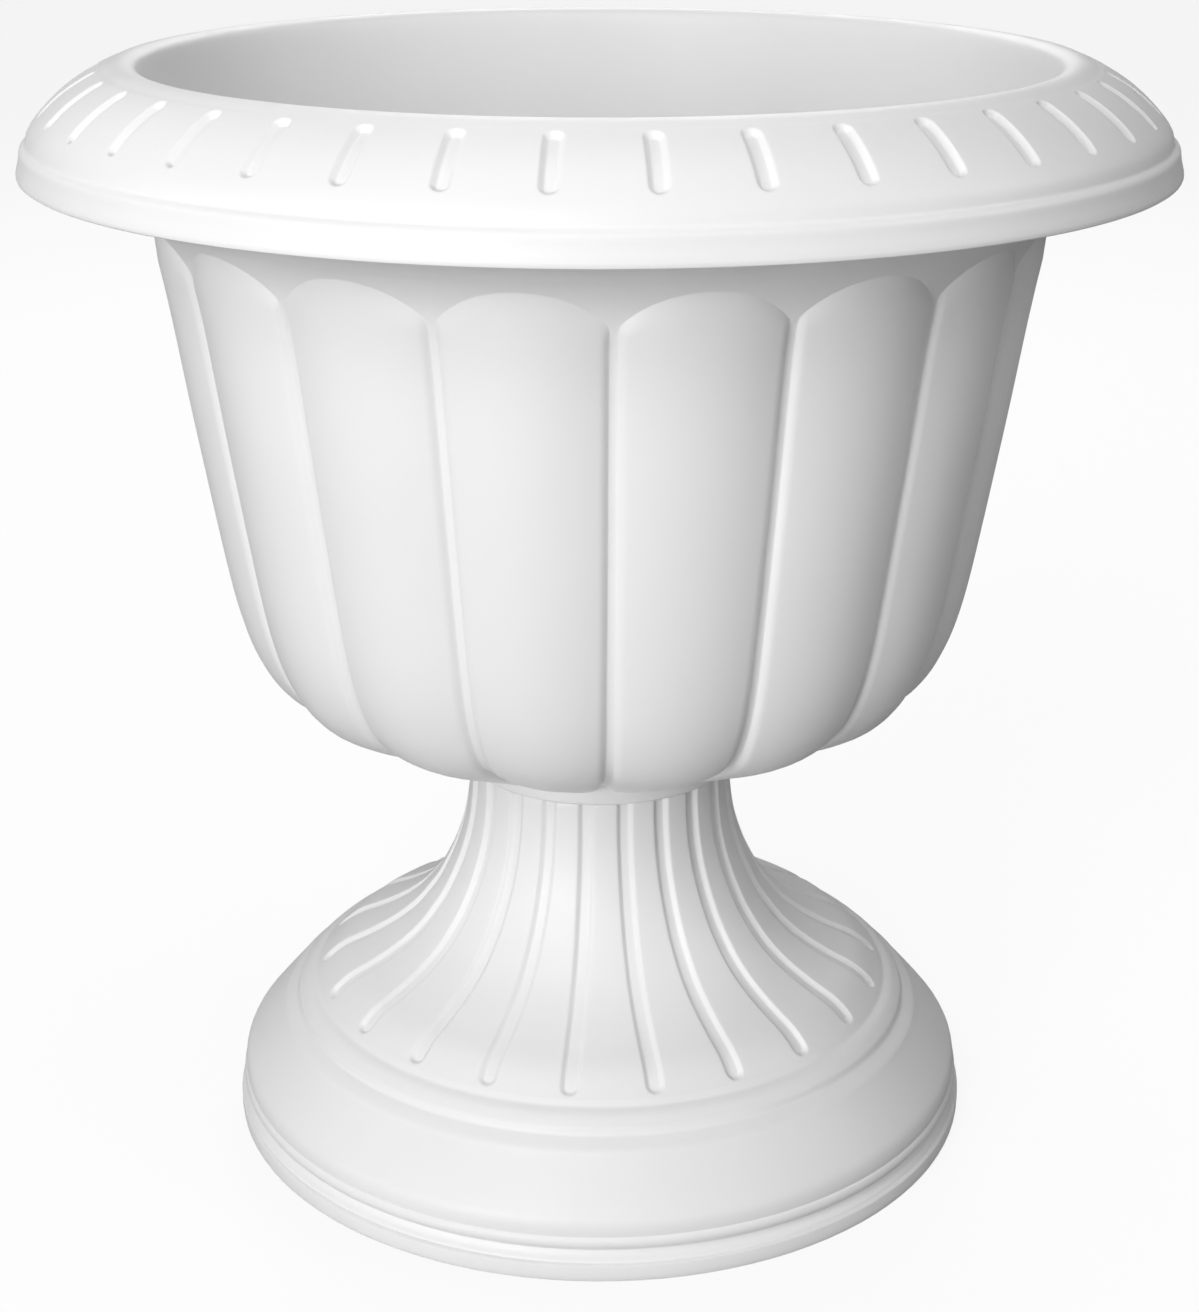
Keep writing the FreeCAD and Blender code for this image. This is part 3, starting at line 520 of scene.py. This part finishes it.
# the top: a flat seat for the bowl
b_hi = skin.ring(circle_ring(0, 0, 4.5, 160.5, 40))
d_hi = skin.ring(circle_ring(33, 0, 11.0, 160.5, 48))
skin.plate(prev, [b_hi, d_hi])
b_lo = skin.ring(circle_ring(0, 0, 4.5, 155.5, 40))
d_lo = skin.ring(circle_ring(33, 0, 11.0, 155.5, 48))
skin.join(b_hi, b_lo)
skin.join(d_hi, d_lo)
inner = [(158.8, 4.0), (155.2, 10.0), (155.2, 22.0), (154.6, 24.6), (153.5, 26.6), (147.2, 34.0), (141.0, 41.0), (136.5, 44.8),
         (131.8, 47.2), (131.0, 51.2), (124.5, 54.4), (120.5, 57.6), (112.0, 64.6), (104.9, 68.2), (98.0, 71.4),
         (90.0, 76.4), (82.6, 82.4), (77.0, 88.0), (72.0, 94.0), (67.8, 100.0), (64.2, 106.4), (61.0, 113.0), (58.4, 119.5),
         (56.3, 126.0), (54.7, 132.5), (53.4, 138.5), (52.6, 144.5), (52.1, 150.0), (51.6, 154.6), (51.0, 155.3), (50.2, 155.5)]
m = 176
ph = np.arange(m) * 2 * np.pi / m + LINE0
prev = first
prev = skin.rows([polar(np.full(m, r), np.full(m, z), ph) for r, z in inner], prev)
skin.plate(prev, [b_lo, d_lo])
pedestal = skin.build("pedestal_moulding")


# ------------------------------------------------------------------ materials
def material(name, colour, rough, spec=0.5, metal=0.0):
    m = bpy.data.materials.new(name)
    m.use_nodes = True
    nt = m.node_tree
    b = nt.nodes["Principled BSDF"]
    b.inputs["Base Color"].default_value = (*colour, 1)
    b.inputs["Roughness"].default_value = rough
    b.inputs["Metallic"].default_value = metal
    b.inputs["Specular IOR Level"].default_value = spec
    return m, nt, b


def add(nt, kind, **sets):
    n = nt.nodes.new(kind)
    for k, v in sets.items():
        if k in n.inputs:
            n.inputs[k].default_value = v
        else:
            setattr(n, k, v)
    return n


def noise(nt, coord, scale, detail=3.0, rough=0.5):
    n = add(nt, "ShaderNodeTexNoise")
    n.inputs["Scale"].default_value = scale
    n.inputs["Detail"].default_value = detail
    n.inputs["Roughness"].default_value = rough
    nt.links.new(coord, n.inputs["Vector"])
    return n


def ramp(nt, src, lo, hi, a, b):
    r = add(nt, "ShaderNodeMapRange")
    r.inputs["From Min"].default_value = lo
    r.inputs["From Max"].default_value = hi
    r.inputs["To Min"].default_value = a
    r.inputs["To Max"].default_value = b
    nt.links.new(src, r.inputs["Value"])
    return r.outputs["Result"]


def mix_colour(nt, fac, a, b):
    m = add(nt, "ShaderNodeMix")
    m.data_type = "RGBA"
    m.inputs["A"].default_value = (*a, 1)
    m.inputs["B"].default_value = (*b, 1)
    nt.links.new(fac, m.inputs["Factor"])
    return m.outputs["Result"]


def plastic(name, a, b, rough):
    """Satin moulded plastic: faint flow shading, fine grain and a slightly uneven gloss."""
    m, nt, s = material(name, a, rough, 0.38)
    co = add(nt, "ShaderNodeTexCoord").outputs["Object"]
    big = noise(nt, co, 7.0, 2.0)
    nt.links.new(mix_colour(nt, ramp(nt, big.outputs["Fac"], 0.35, 0.65, 0, 1), a, b), s.inputs["Base Color"])
    mid = noise(nt, co, 60.0, 3.0)
    nt.links.new(ramp(nt, mid.outputs["Fac"], 0.3, 0.7, rough - 0.035, rough + 0.035), s.inputs["Roughness"])
    grain = noise(nt, co, 900.0, 2.0, 0.6)
    peel = noise(nt, co, 90.0, 2.0)
    b1 = add(nt, "ShaderNodeBump")
    b1.inputs["Strength"].default_value = 0.12
    b1.inputs["Distance"].default_value = 0.0001
    nt.links.new(grain.outputs["Fac"], b1.inputs["Height"])
    b2 = add(nt, "ShaderNodeBump")
    b2.inputs["Strength"].default_value = 0.10
    b2.inputs["Distance"].default_value = 0.0006
    nt.links.new(peel.outputs["Fac"], b2.inputs["Height"])
    nt.links.new(b1.outputs["Normal"], b2.inputs["Normal"])
    nt.links.new(b2.outputs["Normal"], s.inputs["Normal"])
    return m


def steel(name):
    m, nt, s = material(name, (0.6, 0.61, 0.62), 0.32, 0.5, 1.0)
    co = add(nt, "ShaderNodeTexCoord").outputs["Object"]
    n1 = noise(nt, co, 240.0, 4.0)
    nt.links.new(mix_colour(nt, ramp(nt, n1.outputs["Fac"], 0.3, 0.7, 0, 1), (0.52, 0.53, 0.54), (0.72, 0.72, 0.70)), s.inputs["Base Color"])
    nt.links.new(ramp(nt, n1.outputs["Fac"], 0.3, 0.7, 0.26, 0.42), s.inputs["Roughness"])
    n2 = noise(nt, co, 1500.0, 2.0)
    b1 = add(nt, "ShaderNodeBump")
    b1.inputs["Strength"].default_value = 0.15
    b1.inputs["Distance"].default_value = 0.0001
    nt.links.new(n2.outputs["Fac"], b1.inputs["Height"])
    nt.links.new(b1.outputs["Normal"], s.inputs["Normal"])
    return m


def rubber(name, a, b):
    m, nt, s = material(name, a, 0.75, 0.3)
    co = add(nt, "ShaderNodeTexCoord").outputs["Object"]
    n1 = noise(nt, co, 130.0, 4.0)
    nt.links.new(mix_colour(nt, ramp(nt, n1.outputs["Fac"], 0.3, 0.7, 0, 1), a, b), s.inputs["Base Color"])
    nt.links.new(ramp(nt, n1.outputs["Fac"], 0.3, 0.7, 0.62, 0.85), s.inputs["Roughness"])
    n2 = noise(nt, co, 1200.0, 2.0)
    b1 = add(nt, "ShaderNodeBump")
    b1.inputs["Strength"].default_value = 0.25
    b1.inputs["Distance"].default_value = 0.0001
    nt.links.new(n2.outputs["Fac"], b1.inputs["Height"])
    nt.links.new(b1.outputs["Normal"], s.inputs["Normal"])
    return m


WHITE = plastic("white_moulding", (0.815, 0.815, 0.815), (0.84, 0.84, 0.842), 0.48)
ZINC = steel("zinc_plate")
SEAL = rubber("seal_rubber", (0.035, 0.035, 0.036), (0.06, 0.06, 0.06))
PLUG = rubber("plug_rubber", (0.09, 0.09, 0.092), (0.13, 0.13, 0.13))

for ob, node in ((bowl, "bowl"), (pedestal, "pedestal")):
    ob.data.materials.append(WHITE)
    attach(ob, "urn")
    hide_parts(node)
for node, mat in (("fixing_bolt", ZINC), ("flat_washer", ZINC), ("lower_washer", ZINC), ("wing_nut", ZINC),
                  ("sealing_washer", SEAL), ("drain_plug", PLUG)):
    me = nodes[node].data
    if not me.materials:
        me.materials.append(mat)
    for i in range(len(me.materials)):
        me.materials[i] = mat

# ------------------------------------------------------------------ floor, light, camera
def floor_plane(name, colour, glow):
    me = bpy.data.meshes.new(name)
    me.from_pydata([(-9, -9, 0), (9, -9, 0), (9, 9, 0), (-9, 9, 0)], [], [(0, 1, 2, 3)])
    ob = bpy.data.objects.new(name, me)
    bpy.context.scene.collection.objects.link(ob)
    m, _nt, s = material(name, (colour,) * 3, 0.95, 0.0)
    s.inputs["Emission Color"].default_value = (1, 1, 1, 1)
    s.inputs["Emission Strength"].default_value = glow
    me.materials.append(m)
    return ob


# the floor that is seen, bright and even, and the weak upward light that it gives
ground = floor_plane("floor", 0.12, 0.885)
ground.visible_diffuse = False
ground.visible_glossy = False
bounce = floor_plane("floor_light", 0.45, 0.12)
bounce.visible_camera = False
bounce.visible_shadow = False


def area(name, azimuth, elevation, power, size=1.3, far=2.4):
    a, e = math.radians(azimuth), math.radians(elevation)
    d = bpy.data.lights.new(name, "AREA")
    d.shape = "DISK"
    d.size = size
    d.energy = power
    o = bpy.data.objects.new(name, d)
    bpy.context.scene.collection.objects.link(o)
    o.location = (far * math.cos(e) * math.sin(a), -far * math.cos(e) * math.cos(a), 0.25 + far * math.sin(e))
    o.rotation_euler = (Vector((0, 0, 0.25)) - o.location).to_track_quat("-Z", "Y").to_euler()
    return o


area("key_low", -30, 8, 32.5)
area("key_high", -20, 35, 20.5)
area("back", 180, 35, 17.5)
area("top", 0, 88, 10.8)
area("right", 85, 35, 12.4)
area("fill", 30, 8, 6.4)
area("left_rear", -130, 35, 6.3)
area("left", -95, 15, 5)

world = bpy.data.worlds.new("studio")
bpy.context.scene.world = world
world.use_nodes = True
world.node_tree.nodes["Background"].inputs["Color"].default_value = (1, 1, 1, 1)
world.node_tree.nodes["Background"].inputs["Strength"].default_value = 0.95
world.cycles_visibility.diffuse = False
world.cycles_visibility.glossy = False

sc = bpy.context.scene
sc.view_settings.view_transform = "Standard"
sc.view_settings.look = "None"
sc.view_settings.exposure = 0.0
sc.view_settings.gamma = 1.0

cd = bpy.data.cameras.new("camera")
cam = bpy.data.objects.new("camera", cd)
sc.collection.objects.link(cam)
cam.location = (0, -0.97830, 0.56762)
cam.rotation_euler = (math.radians(90 - 20.3115), 0, 0)
cd.sensor_fit = "AUTO"
cd.sensor_width = 36.0
cd.lens = 2417.943 * 36.0 / 1312.0
cd.shift_x = -0.25 / 1312.0
cd.clip_start, cd.clip_end = 0.02, 50
sc.camera = cam
